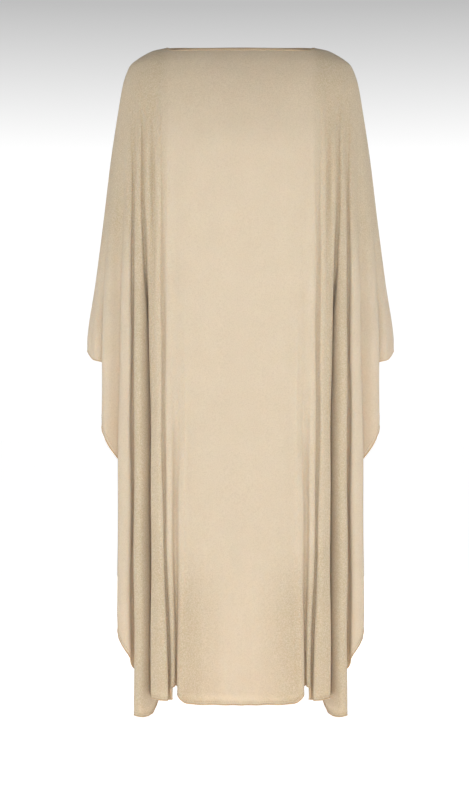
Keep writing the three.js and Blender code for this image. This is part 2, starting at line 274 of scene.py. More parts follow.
# %% [markdown]
# ## One function for the whole panel
#
# Every point of a panel has two numbers: its place among the folds, and its height. This
# function turns them into a point of the cloth's middle surface. All that follows asks it,
# so the edges, seams and stitches lie exactly on the cloth.

# %% The panel's middle surface
SHOULDER_POINTS = 1205
HEM_LIFT_FOLDS = 2
SHOULDER_Z = np.linspace(0, WRIST_HEIGHT, SHOULDER_POINTS)
SHOULDER_X = read(LEVELS, "half", "z", SHOULDER_Z)


def shoulder_height(x):
    """The height of the shoulder and arm seam."""
    return np.interp(x, SHOULDER_X, SHOULDER_Z)


def body_depth(side, x, z):
    """How far the form under the folds stands out of the middle plane."""
    share = np.minimum(1, x / read(LEVELS, "half", "z", z))
    fill = 1 - share ** read(LEVELS, "flat", "z", z)
    return read(LEVELS, side, "z", z) * fill ** (1 / read(LEVELS, "nose", "z", z))


def top_edge(side, fold):
    """x, depth and height of a fold line's upper end."""
    x = read(FOLDS, "x_chest", "fold", fold)
    share = np.minimum(1, x / NECK_HALF_WIDTH)
    neck = SIDES[side]["neck_height"] * (1 - share ** SIDES[side]["neck_power"])
    z = np.where(x < NECK_HALF_WIDTH, neck, shoulder_height(x))
    return x, np.where(x < NECK_HALF_WIDTH, body_depth(side, x, z), 0), z


def hem_height(side, fold):
    """The height of a panel's lower edge, which is a little higher behind."""
    lift = SIDES[side]["hem_lift"] * ease(np.abs(fold - SEAM_FOLD) / HEM_LIFT_FOLDS)
    return read(HEM, "z", "fold", fold) + np.where(fold < LAST_FOLD - 1, lift, 0)


def between(chest, hip, knee, ankle, z):
    """A value that is given at four heights, at the heights z."""
    upper = mix(chest, hip, ease((z - CHEST) / (HIP - CHEST)))
    lower = mix(upper, knee, ease((z - HIP) / (KNEE - HIP)))
    return mix(lower, ankle, ease((z - KNEE) / (ANKLE - KNEE)))


def cloth(side, fold, z):
    """Points of the right half of a panel, in millimetres."""
    fold, z = np.broadcast_arrays(np.asarray(fold, float), np.asarray(z, float))
    top_x = top_edge(side, fold)[0]
    k = np.clip(np.floor(fold).astype(int), 0, LAST_FOLD - 1)
    part = fold - k

    # How far aside the fold line runs, and how far the form under it stands out.
    across = mix(top_x, read(FOLDS, "x_middle", "fold", fold),
                 ease((z - CHEST) / (MIDDLE - CHEST)))
    lower = read(FOLDS, "x_ankle", "fold", fold) - read(FOLDS, "x_middle", "fold", fold)
    across = across + lower * ease((z - MIDDLE) / (ANKLE - MIDDLE))
    lean = np.radians(read(FOLDS, "lean", "fold", fold))
    body = body_depth(side, across, z)

    # The folds grow below the shoulder, and one valley on each side is drawn in to the seam.
    onset = ease((read(FOLDS, "start", "fold", fold) - z) / FOLD_ONSET)
    growth = onset * SIDES[side]["fold_depth"]
    turn = (1 - np.cos(math.pi * part)) / 2
    reach = between(*(mix(FOLDS[h][k], FOLDS[h][k + 1], turn) for h in HEIGHTS), z) * growth
    near_seam = np.maximum(0, 1 - np.abs(fold - SEAM_FOLD))
    sewn = (1 - np.cos(math.pi * near_seam)) / 2 * ease((ARMHOLE + SEAM_ONSET - z) / SEAM_ONSET)
    reach = reach + small_creases(side, fold, z) * (1 - sewn)
    reach = mix(reach, -(body - (CAD_CLOTH + SEAM_GAP) / 2) / np.cos(lean), sewn)

    # Crests and valleys are rounded sideways, as far as their depth has room for.
    swing = between(*(np.abs(FOLDS[h][k + 1] - FOLDS[h][k]) for h in HEIGHTS), z) * growth
    round_by = np.where(part < 0.5, FOLDS["round_out"][k], FOLDS["round_in"][k + 1])
    room = np.minimum(1, swing / (BELLY_SWING * np.maximum(round_by, 1)))
    belly = round_by * np.sin(2 * math.pi * part) * room

    # All of it is turned by the angle at which the folds lean outwards.
    out = body + reach * np.cos(lean) - belly * np.sin(lean)
    sway = SWAY["width"] * np.sin(2 * math.pi * z / SWAY["length"] + fold) * onset
    x = across + reach * np.sin(lean) + belly * np.cos(lean) + sway * np.minimum(1, fold)
    y = SIDES[side]["sign"] * np.maximum(SEAM_GAP / 2, out)
    return np.stack([x, y, z], -1)


middle = cloth("front", 0, -600.0)
print("the front's middle stands out", round(float(-middle[1])), "mm at the hips")

# %% [markdown]
# ## From a grid to a thin shell
#
# A panel is a grid of points: columns run down its folds, and rows go across. A Solidify
# modifier could thicken it, but the two panels have to meet without crossing. So both faces
# are worked out here, half the cloth's thickness to each side, and kept clear of the middle
# plane, where the panels are sewn together. The rim is thinner, which softens its edge.

# %% Panel grids
CLOTH = 1.5
RIM = 0.55
CENTRE_COLUMNS = 26
FOLD_COLUMNS = 9
ROW_COUNT = 118
ROW_CROWDING = 0.5
TOP_SHARE, TOP_START = 0.12, 0.06
NO_LENGTH = 1e-9


def column_folds():
    """The fold coordinate of each column, from the middle to the arm."""
    counts = [CENTRE_COLUMNS] + [FOLD_COLUMNS] * (LAST_FOLD - 1)
    parts = [k + np.arange(n) / n for k, n in enumerate(counts)]
    return np.concatenate([*parts, [LAST_FOLD]])


def row_shares():
    """Shares of the way down, much closer together on top of the shoulders."""
    even = np.linspace(0, 1, ROW_COUNT)
    crowded = mix(even, even ** 3, ROW_CROWDING)
    return crowded * ease(even / TOP_SHARE + TOP_START)


def right_half(side, folds, shares):
    """The grid of the right half of a panel."""
    top = top_edge(side, folds)[2]
    z = mix(top[:, None], hem_height(side, folds)[:, None], shares)
    return cloth(side, folds[:, None], z)


def both_halves(right):
    """The right half and its mirror image, joined at the middle column."""
    left = right[:0:-1].copy()
    left[..., 0] *= -1
    return np.concatenate([left, right])


def unit(vectors):
    """The same directions with a length of 1."""
    return vectors / np.maximum(np.linalg.norm(vectors, axis=-1, keepdims=True), NO_LENGTH)


def outward(side, grid):
    """Unit normals of a grid, out of the garment. Along the arm they stay in its seam's plane."""
    across = np.gradient(grid, axis=0)
    down = np.gradient(grid, axis=1)
    normals = unit(np.cross(across, down) * SIDES[side]["sign"])
    from_middle = np.abs(np.arange(len(grid)) - len(grid) // 2)
    arm = from_middle > CENTRE_COLUMNS + FOLD_COLUMNS * (NECK_FOLD - 1)
    normals[arm, 0, 1] = 0
    return unit(normals)


COLUMNS = column_folds()
GRIDS = {side: both_halves(right_half(side, COLUMNS, row_shares())) for side in SIDES}
for side, grid in GRIDS.items():
    print(side, "grid:", grid.shape[0], "columns,", grid.shape[1], "rows")

# %% [markdown]
# The mesh also carries the cloth's own lengths, as UV coordinates in metres: how far across
# and how far down the knit each point lies. A stitch pattern that is drawn with them follows
# the folds. They come from the grid's own edge lengths, so nothing has to be unwrapped.

# %% Panel mesh
PIECES = {}
WIDTH_ROW = ROW_COUNT * 2 // 3


def add_mesh(name, points, faces, uv=None):
    """A smooth mesh object. Points are in millimetres, and uv has one row for each point."""
    mesh = bpy.data.meshes.new(name)
    mesh.from_pydata((np.asarray(points) * MM).tolist(), [], [list(f) for f in faces])
    mesh.polygons.foreach_set("use_smooth", [True] * len(mesh.polygons))
    if uv is not None:
        corners = np.empty(len(mesh.loops), int)
        mesh.loops.foreach_get("vertex_index", corners)
        layer = mesh.uv_layers.new(name="cloth")
        layer.data.foreach_set("uv", np.asarray(uv)[corners].ravel())
    mesh.validate()
    thing = bpy.data.objects.new(name, mesh)
    bpy.context.scene.collection.objects.link(thing)
    PIECES[name] = thing
    return thing


def cloth_lengths(grid):
    """Metres across the cloth, measured along one row, and metres down from the neck."""
    steps = np.linalg.norm(np.diff(grid[:, WIDTH_ROW], axis=0), axis=-1)
    across = np.concatenate([[0], np.cumsum(steps)])
    drops = np.linalg.norm(np.diff(grid, axis=1), axis=-1)
    down = np.concatenate([np.zeros((len(grid), 1)), np.cumsum(drops, axis=1)], axis=1)
    down = down - grid[:, :1, 2]
    across = np.broadcast_to((across - across[-1] / 2)[:, None], down.shape)
    return np.stack([across, down], -1) * MM


def shell(side, grid):
    """Points, faces and lengths of a closed thin wall on both sides of the grid."""
    sign = SIDES[side]["sign"]
    thickness = np.full(grid.shape[:2], CLOTH / 2)
    thickness[:, [0, -1]] *= RIM
    move = outward(side, grid) * thickness[..., None]
    layers = [grid + move, grid - move]
    for layer in layers:
        layer[..., 1] = sign * np.maximum(SEAM_GAP / 2, sign * layer[..., 1])
    columns, rows = grid.shape[:2]
    at = np.arange(columns * rows).reshape(columns, rows)
    quads = np.stack([at[:-1, :-1], at[1:, :-1], at[1:, 1:], at[:-1, 1:]], -1).reshape(-1, 4)
    inner = quads[:, ::-1] + columns * rows
    edge = np.concatenate([at[:, 0], at[-1, 1:], at[-2::-1, -1], at[0, -2:0:-1]])
    after = np.roll(edge, -1)
    rim = np.stack([after, edge, edge + columns * rows, after + columns * rows], -1)
    faces = np.concatenate([quads, inner, rim])
    if sign > 0:
        faces = faces[:, ::-1]
    lengths = cloth_lengths(grid).reshape(-1, 2)
    points = np.concatenate([layer.reshape(-1, 3) for layer in layers])
    return points, faces, np.concatenate([lengths, lengths])


for side, grid in GRIDS.items():
    panel = add_mesh(f"{side}_cloth", *shell(side, grid))
    print(panel.name, len(panel.data.polygons) * 2, "triangles")

# %% [markdown]
# ## Tubes along a line
#
# The rolled hem is a thin, round edge, where the cloth is turned over a thread. A curve with
# a bevel could draw it, but a swept mesh gives the same thing in a plain form. The frame of
# each ring is carried from one ring to the next, so the tube doesn't twist.

# %% Rolled hems
HEM_RADIUS = 1.35
HEM_SIDES = 8
START_ACROSS = (0, 1, 0.01)


def tube_faces(rings, sides):
    """The faces of a capped tube, whose points go round each of its rings in turn."""
    at = np.arange(rings * sides).reshape(rings, sides)
    turned = np.roll(at, -1, axis=1)
    around = np.stack([at[:-1], at[1:], turned[1:], turned[:-1]], -1).reshape(-1, 4)
    return around.tolist() + [at[0][::-1].tolist(), at[-1].tolist()]


def tube(line, radius, sides):
    """Points and faces of a capped round tube along a line of points."""
    tangent = unit(np.gradient(line, axis=0))
    normal = unit(np.cross(tangent[0], START_ACROSS))
    angles = np.arange(sides) * 2 * math.pi / sides
    rings = []
    for point, forward in zip(line, tangent):
        normal = unit(normal - forward * normal.dot(forward))
        side_way = np.cross(forward, normal)
        rings.append(point + radius * (np.cos(angles)[:, None] * normal
                                       + np.sin(angles)[:, None] * side_way))
    return np.concatenate(rings), tube_faces(len(line), sides)


def lengths_along(line):
    """The length of a line up to each of its points."""
    return np.concatenate([[0], np.cumsum(np.linalg.norm(np.diff(line, axis=0), axis=1))])


def add_roll(name, line, radius):
    """A tube that carries the knit's lengths along and around it."""
    points, faces = tube(line, radius, HEM_SIDES)
    along = lengths_along(line)
    uv = np.stack([np.repeat(along, HEM_SIDES) * MM,
                   np.tile(np.arange(HEM_SIDES), len(line)) * MM], -1)
    add_mesh(name, points, faces, uv)
    print(f"{name} is {along[-1] * MM:.2f} m long")


def hem_line(side):
    """The panel's lower edge, from one wrist to the other."""
    line = GRIDS[side][:, -1].copy()
    sign = SIDES[side]["sign"]
    line[:, 1] = sign * np.maximum(HEM_RADIUS + SEAM_GAP / 2, sign * line[:, 1])
    return line


for side in SIDES:
    add_roll(f"{side}_hem", hem_line(side), HEM_RADIUS)

# %% [markdown]
# A seam closes each shoulder and arm, and one runs down each side at the bottom of its deep
# valley. The raw edges are oversewn and lie inside the garment. Each is a thin roll just
# within the line where the panels meet, and it keeps light from shining through there.

# %% Seams inside the garment
SEAM_RADIUS = 0.8
SEAM_TUCK = 0.7
SEAM_PAST_NECK = 0.03
ARM_SEAM_POINTS, SIDE_SEAM_POINTS = 420, 300
SIDE_SEAM_RADIUS = 1.0
SIDE_SEAM_END = 1


def arm_seam():
    """The line under the right shoulder and arm, from the neck to the wrist."""
    folds = np.linspace(NECK_FOLD + SEAM_PAST_NECK, LAST_FOLD, ARM_SEAM_POINTS)
    x, _, z = top_edge("front", folds)
    line = np.stack([x, 0 * x, z], -1)
    forward = unit(np.gradient(line, axis=0))
    inward = np.stack([forward[:, 2], 0 * x, -forward[:, 0]], -1)
    return line + inward * (CLOTH / 2 * RIM + SEAM_RADIUS * SEAM_TUCK)


def side_seam():
    """The line between the two panels' valley bottoms, from the armhole down to the hem."""
    low = max(hem_height(side, np.array([SEAM_FOLD]))[0] for side in SIDES) + SIDE_SEAM_END
    z = np.linspace(ARMHOLE, low, SIDE_SEAM_POINTS)
    line = (cloth("front", SEAM_FOLD, z) + cloth("back", SEAM_FOLD, z)) / 2
    return line * [1, 0, 1]


for name, mirror in (("right", 1), ("left", -1)):
    add_roll(f"{name}_arm_seam", arm_seam() * [mirror, 1, 1], SEAM_RADIUS)
    add_roll(f"{name}_side_seam", side_seam() * [mirror, 1, 1], SIDE_SEAM_RADIUS)

# %% [markdown]
# ## The neck binding
#
# A strip of the same jersey is folded over the raw edge of the neck, so it makes a small
# round band. Its section is drawn once and carried round the neckline. At each place it
# goes on up the slope of the panel below it, steep in the middle and level at the ends, so
# that the two look like one cloth.

# %% Neck binding
BINDING_HEIGHT = 6
BINDING_THICKNESS = 2.6
BINDING_GAP = 0.2
BINDING_FOOT = [(0.85, 0), (1, 0.6), (0.94, 1.5), (1, 2.4)]
FOLD_START = 0.75
FOLD_CORNERS = 7
NECK_COLUMNS = 90
NECK_CROWDING = 1.6
SLOPE_POWER = 8


def neck_frames(side):
    """The right half of the neckline: its points, the way up the cloth, and outward normals."""
    folds = NECK_FOLD * (1 - (1 - np.linspace(0, 1, NECK_COLUMNS)) ** NECK_CROWDING)
    x, depth, z = top_edge(side, folds)
    sign = SIDES[side]["sign"]
    points = np.stack([x, sign * depth, z], -1)
    mirror = points[1:2] * [-1, 1, 1]
    along = np.gradient(np.concatenate([mirror, points]), axis=0)[1:]
    along[-1] = [0, -sign, 0]
    along[:, 2] = 0
    along = unit(along)
    away = np.stack([-along[:, 1], along[:, 0], np.zeros(len(folds))], -1) * sign
    slope = math.radians(SIDES[side]["neck_slope"]) * (1 - (x / NECK_HALF_WIDTH) ** SLOPE_POWER)
    rise, lie = np.sin(slope)[:, None], np.cos(slope)[:, None]
    up = away * -lie + [0, 0, 1] * rise
    return points, up, away * rise + [0, 0, 1] * lie


def neck_ring():
    """Points, ups and normals all round the neck."""
    halves = []
    for side in ("front", "back"):
        right = neck_frames(side)
        flipped = [part[:0:-1] * [-1, 1, 1] for part in right]
        whole = [np.concatenate(pair) for pair in zip(flipped, right)]
        halves.append(whole if side == "front" else [part[-2:0:-1] for part in whole])
    return [np.concatenate(pair) for pair in zip(*halves)]


def binding_section(half, height):
    """A folded band's outline: up the outside, over the round fold and down the inside."""
    turn = np.linspace(0, math.pi, FOLD_CORNERS)
    body = height - half
    outer = [(half * out, up) for out, up in BINDING_FOOT] + [(half, body * FOLD_START)]
    fold = [(half * math.cos(a), body + half * math.sin(a)) for a in turn]
    inner = [(-out, up) for out, up in outer[::-1]]
    return np.array(outer + fold + inner)


def closed_faces(rings, corners):
    """The faces of a tube whose last ring is joined to its first."""
    at = np.arange(rings * corners).reshape(rings, corners)
    after, turned = np.roll(at, -1, axis=0), np.roll(at, -1, axis=1)
    return np.stack([at, after, np.roll(after, -1, axis=1), turned], -1).reshape(-1, 4)


neck_points, neck_up, neck_normal = neck_ring()
section = binding_section(BINDING_THICKNESS / 2, BINDING_HEIGHT)
corners = [neck_points + neck_normal * out + neck_up * (up + BINDING_GAP)
           for out, up in section]
neck_along = lengths_along(neck_points)
binding_uv = np.stack(np.broadcast_arrays(neck_along[:, None], section[:, 1]), -1) * MM
add_mesh("neck_band", np.stack(corners, 1).reshape(-1, 3),
         closed_faces(len(neck_points), len(section)), binding_uv.reshape(-1, 2))
print(f"the binding is {neck_along[-1] * MM:.2f} m round")

# %% [markdown]
# ## Stitches
#
# The seams are sewn with thread, and each stitch is a small spindle that lies on the cloth.
# One function makes a whole row from a line of points and the cloth's normals there. A copy
# of one object for each stitch would be slow, so a row is a single mesh.

# %% Rows of stitches
THREAD_RADIUS = 0.32
THREAD_LIFT = 0.4
STITCH_SIDES = 5
SPINDLE = [(-0.5, 0.35), (-0.25, 1.0), (0.25, 1.0), (0.5, 0.35)]
LOOK_AHEAD = 0.5


def spindles(line, normals, pitch, length):
    """The points of all the stitches on a line, by stitch, ring and corner."""
    along = lengths_along(line)
    places = np.arange(pitch, along[-1] - pitch, pitch)

    def at_places(values, ahead=0.0):
        return np.stack([np.interp(places + ahead, along, column) for column in values.T], -1)

    spots = at_places(line)
    normal = unit(at_places(normals))
    forward = unit(at_places(line, LOOK_AHEAD) - spots)
    aside = unit(np.cross(forward, normal))
    angles = np.arange(STITCH_SIDES) * 2 * math.pi / STITCH_SIDES
    rings = []
    for reach, width in SPINDLE:
        middle = spots + forward * reach * length + normal * THREAD_RADIUS * THREAD_LIFT
        rings.append(middle[:, None] + width * THREAD_RADIUS * (
            np.cos(angles)[None, :, None] * aside[:, None]
            + np.sin(angles)[None, :, None] * normal[:, None]))
    return np.stack(rings, 1)


def stitch_row(lines, pitch, length):
    """Points and faces of all the stitches along some lines. A line is points and normals."""
    pattern = tube_faces(len(SPINDLE), STITCH_SIDES)
    blocks = [spindles(line, normals, pitch, length) for line, normals in lines]
    points = np.concatenate([block.reshape(-1, 3) for block in blocks])
    starts = range(0, len(points), len(SPINDLE) * STITCH_SIDES)
    return points, [[start + corner for corner in face] for start in starts for face in pattern]


print("a stitch has", len(SPINDLE) * STITCH_SIDES, "points")

# %% [markdown]
# To lay a row beside the hem, the line is walked inwards over the cloth in short steps. That
# keeps it the same distance from the edge, however the cloth folds. At each step the wanted
# direction is split into how far to go among the folds and how far to go up or down.

# %% Walking over the cloth
FOLD_STEP, HEIGHT_STEP = 0.002, 0.5
WALK_STEPS = 5
EDGE_MARGIN = 0.003
TINY = 1e-6


def directions(side, fold, z):
    """How the cloth's points move for one more fold, and for one more millimetre up."""
    by_fold = cloth(side, fold + FOLD_STEP, z) - cloth(side, fold - FOLD_STEP, z)
    by_z = cloth(side, fold, z + HEIGHT_STEP) - cloth(side, fold, z - HEIGHT_STEP)
    return by_fold / (2 * FOLD_STEP), by_z / (2 * HEIGHT_STEP)


def walk(side, fold, z, direction, distance):
    """Moves places over the cloth by a distance, and gives the new places."""
    for _ in range(WALK_STEPS):
        by_fold, by_z = directions(side, fold, z)
        # The two ways aren't square to each other, so their shares come from two equations.
        a, b, c = ((p * q).sum(-1) for p, q in
                   ((by_fold, by_fold), (by_fold, by_z), (by_z, by_z)))
        along, up = (by_fold * direction).sum(-1), (by_z * direction).sum(-1)
        det = np.maximum(a * c - b * b, TINY)
        d_fold, d_z = (c * along - b * up) / det, (a * up - b * along) / det
        way = by_fold * d_fold[:, None] + by_z * d_z[:, None]
        size = np.maximum(np.linalg.norm(way, axis=-1), TINY)
        step = distance / WALK_STEPS
        fold = np.clip(fold + d_fold / size * step, EDGE_MARGIN, LAST_FOLD - EDGE_MARGIN)
        z = z + d_z / size * step
        direction = way / size[:, None]
    return fold, z


def surface_normal(side, fold, z):
    """The directions in which the cloth's outer face looks."""
    by_fold, by_z = directions(side, fold, z)
    return unit(np.cross(by_z, by_fold) * SIDES[side]["sign"])


def on_outside(side, fold, z):
    """Points on the cloth's outer face, with their normals, for both halves."""
    normals = surface_normal(side, fold, z)
    points = cloth(side, fold, z) + normals * CLOTH / 2
    return [(points, normals), (points * [-1, 1, 1], normals * [-1, 1, 1])]


# %% [markdown]
# The hem has one row of stitches beside the roll. Each side seam has one down the bottom of
# its deep valley, on both faces, and the binding has one near its lower edge. Stitches are
# longer on the hem than on the seams, as a maker would set them, so that the hem can stretch.

# %% Stitched rows
HEM_ROW = 5.5
HEM_ROW_FROM, HEM_ROW_TO, HEM_ROW_POINTS = 0.01, LAST_FOLD - 1.2, 900
SEAM_ROW_END = 8
HEM_PITCH, SEAM_PITCH = 3.8, 3.4
STITCH_SHARE = 0.68

for side in SIDES:
    fold = np.linspace(HEM_ROW_FROM, HEM_ROW_TO, HEM_ROW_POINTS)
    z = hem_height(side, fold)
    edge = cloth(side, fold, z)
    along_edge = unit(np.gradient(edge, axis=0))
    inward = unit(np.cross(surface_normal(side, fold, z), along_edge))
    # From the lower edge, inwards is always up.
    inward *= np.sign(inward[:, 2:]) + (inward[:, 2:] == 0)
    row_fold, row_z = walk(side, fold, z, inward, HEM_ROW)
    rows = on_outside(side, row_fold, row_z)
    add_mesh(f"{side}_hem_stitches", *stitch_row(rows, HEM_PITCH, HEM_PITCH * STITCH_SHARE))

    seam_end = hem_height(side, np.array([SEAM_FOLD]))[0] + SEAM_ROW_END
    seam_z = np.linspace(ARMHOLE, seam_end, SIDE_SEAM_POINTS)
    seam = on_outside(side, np.full(len(seam_z), float(SEAM_FOLD)), seam_z)
    add_mesh(f"{side}_seam_stitches", *stitch_row(seam, SEAM_PITCH, SEAM_PITCH * STITCH_SHARE))

BINDING_ROW = 1.5
BINDING_ROW_OUT = BINDING_THICKNESS * 0.46
row = neck_points + neck_up * (BINDING_ROW + BINDING_GAP) + neck_normal * BINDING_ROW_OUT
closed = [(np.concatenate([row, row[:1]]), np.concatenate([neck_normal, neck_normal[:1]]))]
add_mesh("neck_stitches", *stitch_row(closed, SEAM_PITCH, SEAM_PITCH * STITCH_SHARE))
for name, thing in PIECES.items():
    if "stitches" in name:
        print(name, len(thing.data.polygons), "faces")

# %% [markdown]
# ## Writing shader maths as Python
#
# A shader is a graph of nodes, and its sums are hard to read as boxes and wires. The class
# below wraps a socket. Adding or multiplying two of them adds the Math node that does it, so
# a pattern reads like a formula.

# %% Arithmetic on sockets
class Wire:
    """A value in a finish. Arithmetic on it adds Math nodes."""

    def __init__(self, finish, socket):
        self.finish = finish
        self.socket = socket

    def math(self, operation, *values):
        inputs = {i: value for i, value in enumerate(values)}
        return self.finish.node("ShaderNodeMath", {"operation": operation}, inputs)

    def __add__(self, other):
        return self.math("ADD", self, other)

    def __radd__(self, other):
        return self.math("ADD", other, self)

    def __sub__(self, other):
        return self.math("SUBTRACT", self, other)

    def __rsub__(self, other):
        return self.math("SUBTRACT", other, self)

    def __mul__(self, other):
        return self.math("MULTIPLY", self, other)

    def fraction(self):
        return self.math("FRACT", self)

    def size(self):
        return self.math("ABSOLUTE", self)

    def sine(self):
        return self.math("SINE", self)

    def part(self, index):
        """The x, y or z of a vector: 0, 1 or 2."""
        return self.finish.node("ShaderNodeSeparateXYZ", {}, {"Vector": self}, output=index)

    def limited(self):
        """The value, kept from 0 to 1."""
        return self.finish.node("ShaderNodeClamp", {}, {"Value": self})


# %% [markdown]
# A finish belongs to a material, or to the world, whose sky is built from nodes as well. Its
# one method for nodes takes the node's type, its settings and its inputs. An input can be a
# plain value or a wire from another node.

# %% Nodes
class Finish:
    """The nodes of a material or a world."""

    def __init__(self, owner):
        self.owner = owner
        owner.use_nodes = True
        self.tree = owner.node_tree
        self.tree.nodes.clear()

    def node(self, kind, settings, inputs, output=0):
        """Adds a node: its settings first, then its inputs. Gives one of its outputs."""
        made = self.tree.nodes.new(kind)
        for name, value in settings.items():
            setattr(made, name, value)
        for name, value in inputs.items():
            if isinstance(value, Wire):
                self.tree.links.new(value.socket, made.inputs[name])
            else:
                made.inputs[name].default_value = value
        return None if output is None else Wire(self, made.outputs[output])

    def noise(self, place, scale, detail=2.0):
        return self.node("ShaderNodeTexNoise", {},
                         {"Vector": place, "Scale": scale, "Detail": detail})

    def blend(self, share, first, second):
        """A colour between two colours."""
        return self.node("ShaderNodeMix", {"data_type": "RGBA"},
                         {"Factor": share, 6: first, 7: second}, output=2)

    def finish_with(self, constants, **wires):
        """Ends the graph in a Principled shader and gives the material."""
        inputs = {name.replace("_", " "): wire for name, wire in wires.items()}
        surface = self.node("ShaderNodeBsdfPrincipled", {}, {**constants, **inputs})
        self.node("ShaderNodeOutputMaterial", {}, {"Surface": surface}, output=None)
        return self.owner


def linear(red, green, blue):
    """A screen colour, 0 to 255, as the linear colour that a shader takes."""
    parts = [value / 255 for value in (red, green, blue)]
    return (*(p / 12.92 if p <= 0.04045 else ((p + 0.055) / 1.055) ** 2.4 for p in parts), 1)


print("half grey on a screen is", round(linear(128, 128, 128)[0], 3), "to a shader")

# %% [markdown]
# ## Knitted jersey
#
# The real cloth is a fine single jersey of mixed yarn, brushed a little, so that it looks
# soft and dull. Close up it shows small V stitches in upright columns. They are a height for
# a Bump node, drawn from the cloth's own lengths. Real loops would be millions of faces.

# %% Knit
WALE, COURSE = 0.0013, 0.0011
LEG_SLOPE = 1.1


def knit_height(finish):
    """The V stitches of plain knit, from 0 between the yarns to 1 on them."""
    lengths = finish.node("ShaderNodeUVMap", {"uv_map": "cloth"}, {})
    across = lengths.part(0) * (1 / WALE)
    down = lengths.part(1) * (1 / COURSE)
    off_middle = (across.fraction() - 0.5).size()
    leg = (off_middle * (2 * math.pi)).sine()
    loop = ((down - off_middle * LEG_SLOPE).fraction() * math.pi).sine()
    return leg.size() * loop


print(f"a stitch is {WALE / MM:.1f} by {COURSE / MM:.1f} mm")

# %% [markdown]
# A step back, the knit shows only a fine speckle, where darker and lighter fibres meet. It
# is made strongest where the cloth is gathered: on the arms, in the folds and in the low
# corners beside the middle, and a little along the top. The same places are painted a darker,
# more olive ground as painted shade, while the smooth middle and the free wings keep the
# lighter ground. The cloth's own lengths, in metres, say where that is.

# %% Where the cloth is grainy and painted in shade
GATHERED_FROM, FREE_FROM, CORNER_FROM = 0.14, 0.47, 0.03
TOP_TO, FREE_BELOW, LOW_FROM = 0.12, 0.36, 1.0
CHANGE, SLOW_CHANGE = 0.07, 0.12
# How much painted shade and speckle the top of the panel gets.
TOP_SHADE_AND_GRAIN = 0.4


def past(value, start, width):
    """From 0 before the start to 1 a width after it."""
    return ((value - start) * (1 / width)).limited()


def grain_and_shade_share(finish):
    """From 0 on the smooth cloth to 1 in the gathers, the arms and the low middle corners, for
    speckle and painted shade.
    """
    lengths = finish.node("ShaderNodeUVMap", {"uv_map": "cloth"}, {})
    from_middle, down = lengths.part(0).size(), lengths.part(1)
    gathered = past(from_middle, GATHERED_FROM, CHANGE)
    free = past(from_middle, FREE_FROM, CHANGE) * past(down, FREE_BELOW, SLOW_CHANGE)
    corner = past(from_middle, CORNER_FROM, CHANGE) * past(down, LOW_FROM, SLOW_CHANGE)
    top = (1 - past(down, TOP_TO, CHANGE)) * TOP_SHADE_AND_GRAIN
    return ((gathered + corner) * (1 - free) + top).limited()


print(f"the gathers lie {GATHERED_FROM} to {FREE_FROM} m from the middle")

# %% [markdown]
# The colour is a warm and a cool ground, then dark and light fibres, then the shadow between
# the yarns. The cool ground also carries the painted shade of the gathers. The speckle is noise
# in two sizes, and a third, much larger one lets the tone wander. Light also goes a little way
# into the cloth and comes out again beside, which Subsurface imitates. It warms the edges of
# shadows. Sheen adds the pale nap of loose fibres.

# %% Jersey
JERSEY_WARM = linear(219, 201, 178)
JERSEY_COOL_AND_SHADE = linear(200, 183, 156)
JERSEY_DARK = linear(172, 149, 122)
JERSEY_LIGHT = linear(236, 221, 202)
FIBRE, SPECKLE, CLOUD = 900, 430, 22
COOL, CLOUD_COOL, PAINTED_SHADE_COOL = 0.16, 0.45, 0.78
GRAIN, GRAINY_GRAIN = 0.32, 0.45
DARK_CONTRAST, LIGHT_CONTRAST, FIBRE_CONTRAST = 2.2, 2.0, 1.1
DARK_MIDDLE, MIDDLE_GREY = 0.52, 0.5
BETWEEN_YARNS = 0.16
KNIT_RELIEF, FIBRE_RELIEF = 0.6, 0.5
RELIEF = {"Strength": 0.55, "Distance": 0.0006}
ROUGH, ROUGH_CHANGE = 0.84, 0.12
CLOTH_SURFACE = {
    "Subsurface Weight": 0.3,
    "Subsurface Radius": (1.0, 0.6, 0.35),
    "Subsurface Scale": 0.006,
    "Sheen Weight": 0.35,
    "Sheen Roughness": 0.45,
    "Sheen Tint": linear(245, 232, 214),
    "IOR": 1.45,
    "Specular IOR Level": 0.2,
}


